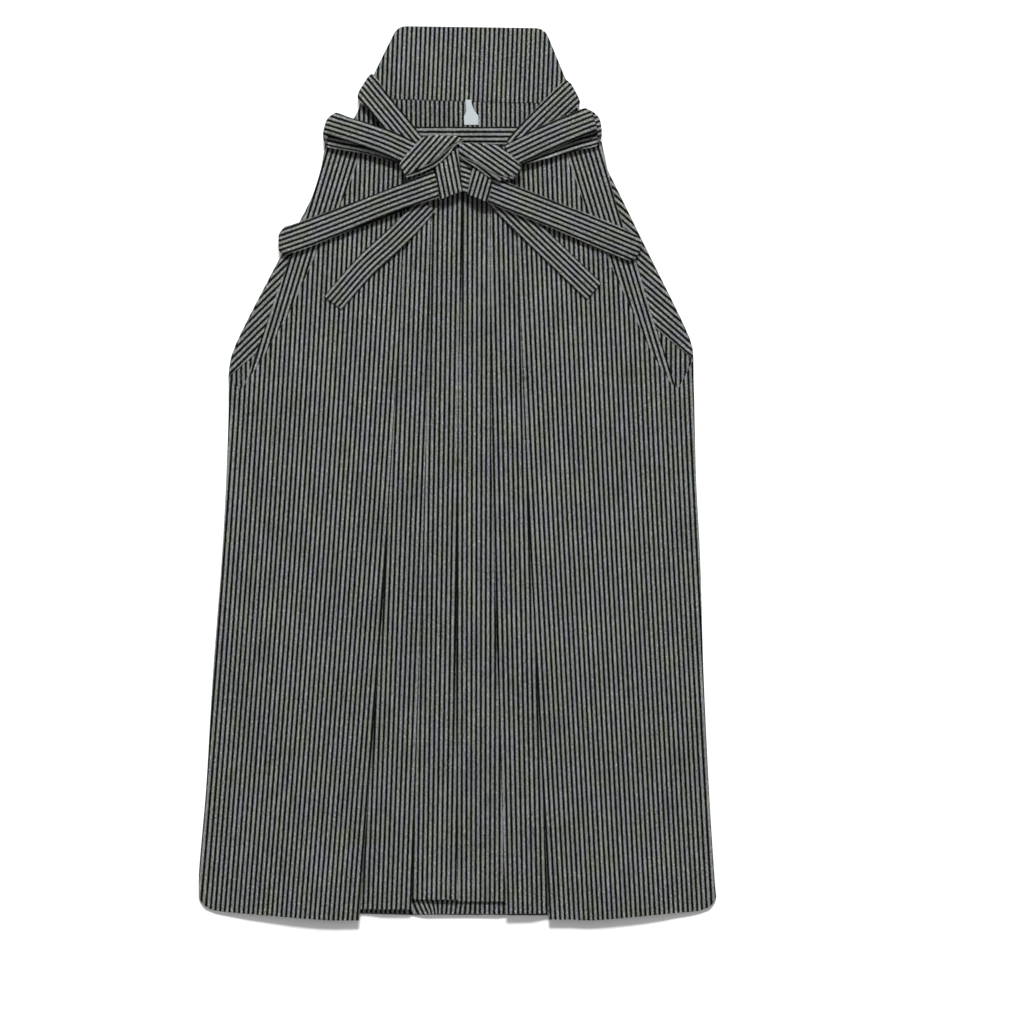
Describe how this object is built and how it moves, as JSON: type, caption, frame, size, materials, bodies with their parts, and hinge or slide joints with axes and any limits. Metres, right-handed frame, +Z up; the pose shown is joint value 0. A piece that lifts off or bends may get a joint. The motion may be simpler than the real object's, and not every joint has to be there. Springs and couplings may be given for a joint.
{
  "type": "hakama trousers",
  "caption": "Wide pleated hakama trousers in a fine vertical stripe, laid flat with the front up and the ties dressed in a bow below the stiff back board.",
  "frame": {"origin": "bottom centre of the bounding box: the middle of the floor area that the garment covers, at the height of the floor", "axes": "+X to the right as seen from above with the waist away from the viewer, +Y towards the waist, +Z up from the floor"},
  "size_m": [0.602, 1.0399, 0.0233],
  "materials": {
    "striped_cloth": "woven silk-like cloth, fine grey and black vertical stripes, soft low sheen",
    "label_cloth": "plain white woven tape, matte"
  },
  "bodies": {
    "root": {"back_left": "striped_cloth", "back_right": "striped_cloth", "back_flap_left": "striped_cloth", "back_flap_right": "striped_cloth", "back_hem_turn": "striped_cloth", "front_left": "striped_cloth", "front_right": "striped_cloth", "front_side_fold_left": "striped_cloth", "front_side_fold_right": "striped_cloth", "back_board": "striped_cloth", "front_band": "striped_cloth", "back_tie_left": "striped_cloth", "back_tie_right": "striped_cloth", "front_tie_loop_left": "striped_cloth", "front_tie_loop_right": "striped_cloth", "front_tie_arm_left": "striped_cloth", "front_tie_arm_right": "striped_cloth", "front_tie_tail_left": "striped_cloth", "front_tie_tail_right": "striped_cloth", "knot_wing_left": "striped_cloth", "knot_wing_right": "striped_cloth", "knot_middle_left": "striped_cloth", "knot_middle_right": "striped_cloth", "knot_tuck": "striped_cloth", "label": "label_cloth"}
  },
  "joints": []
}
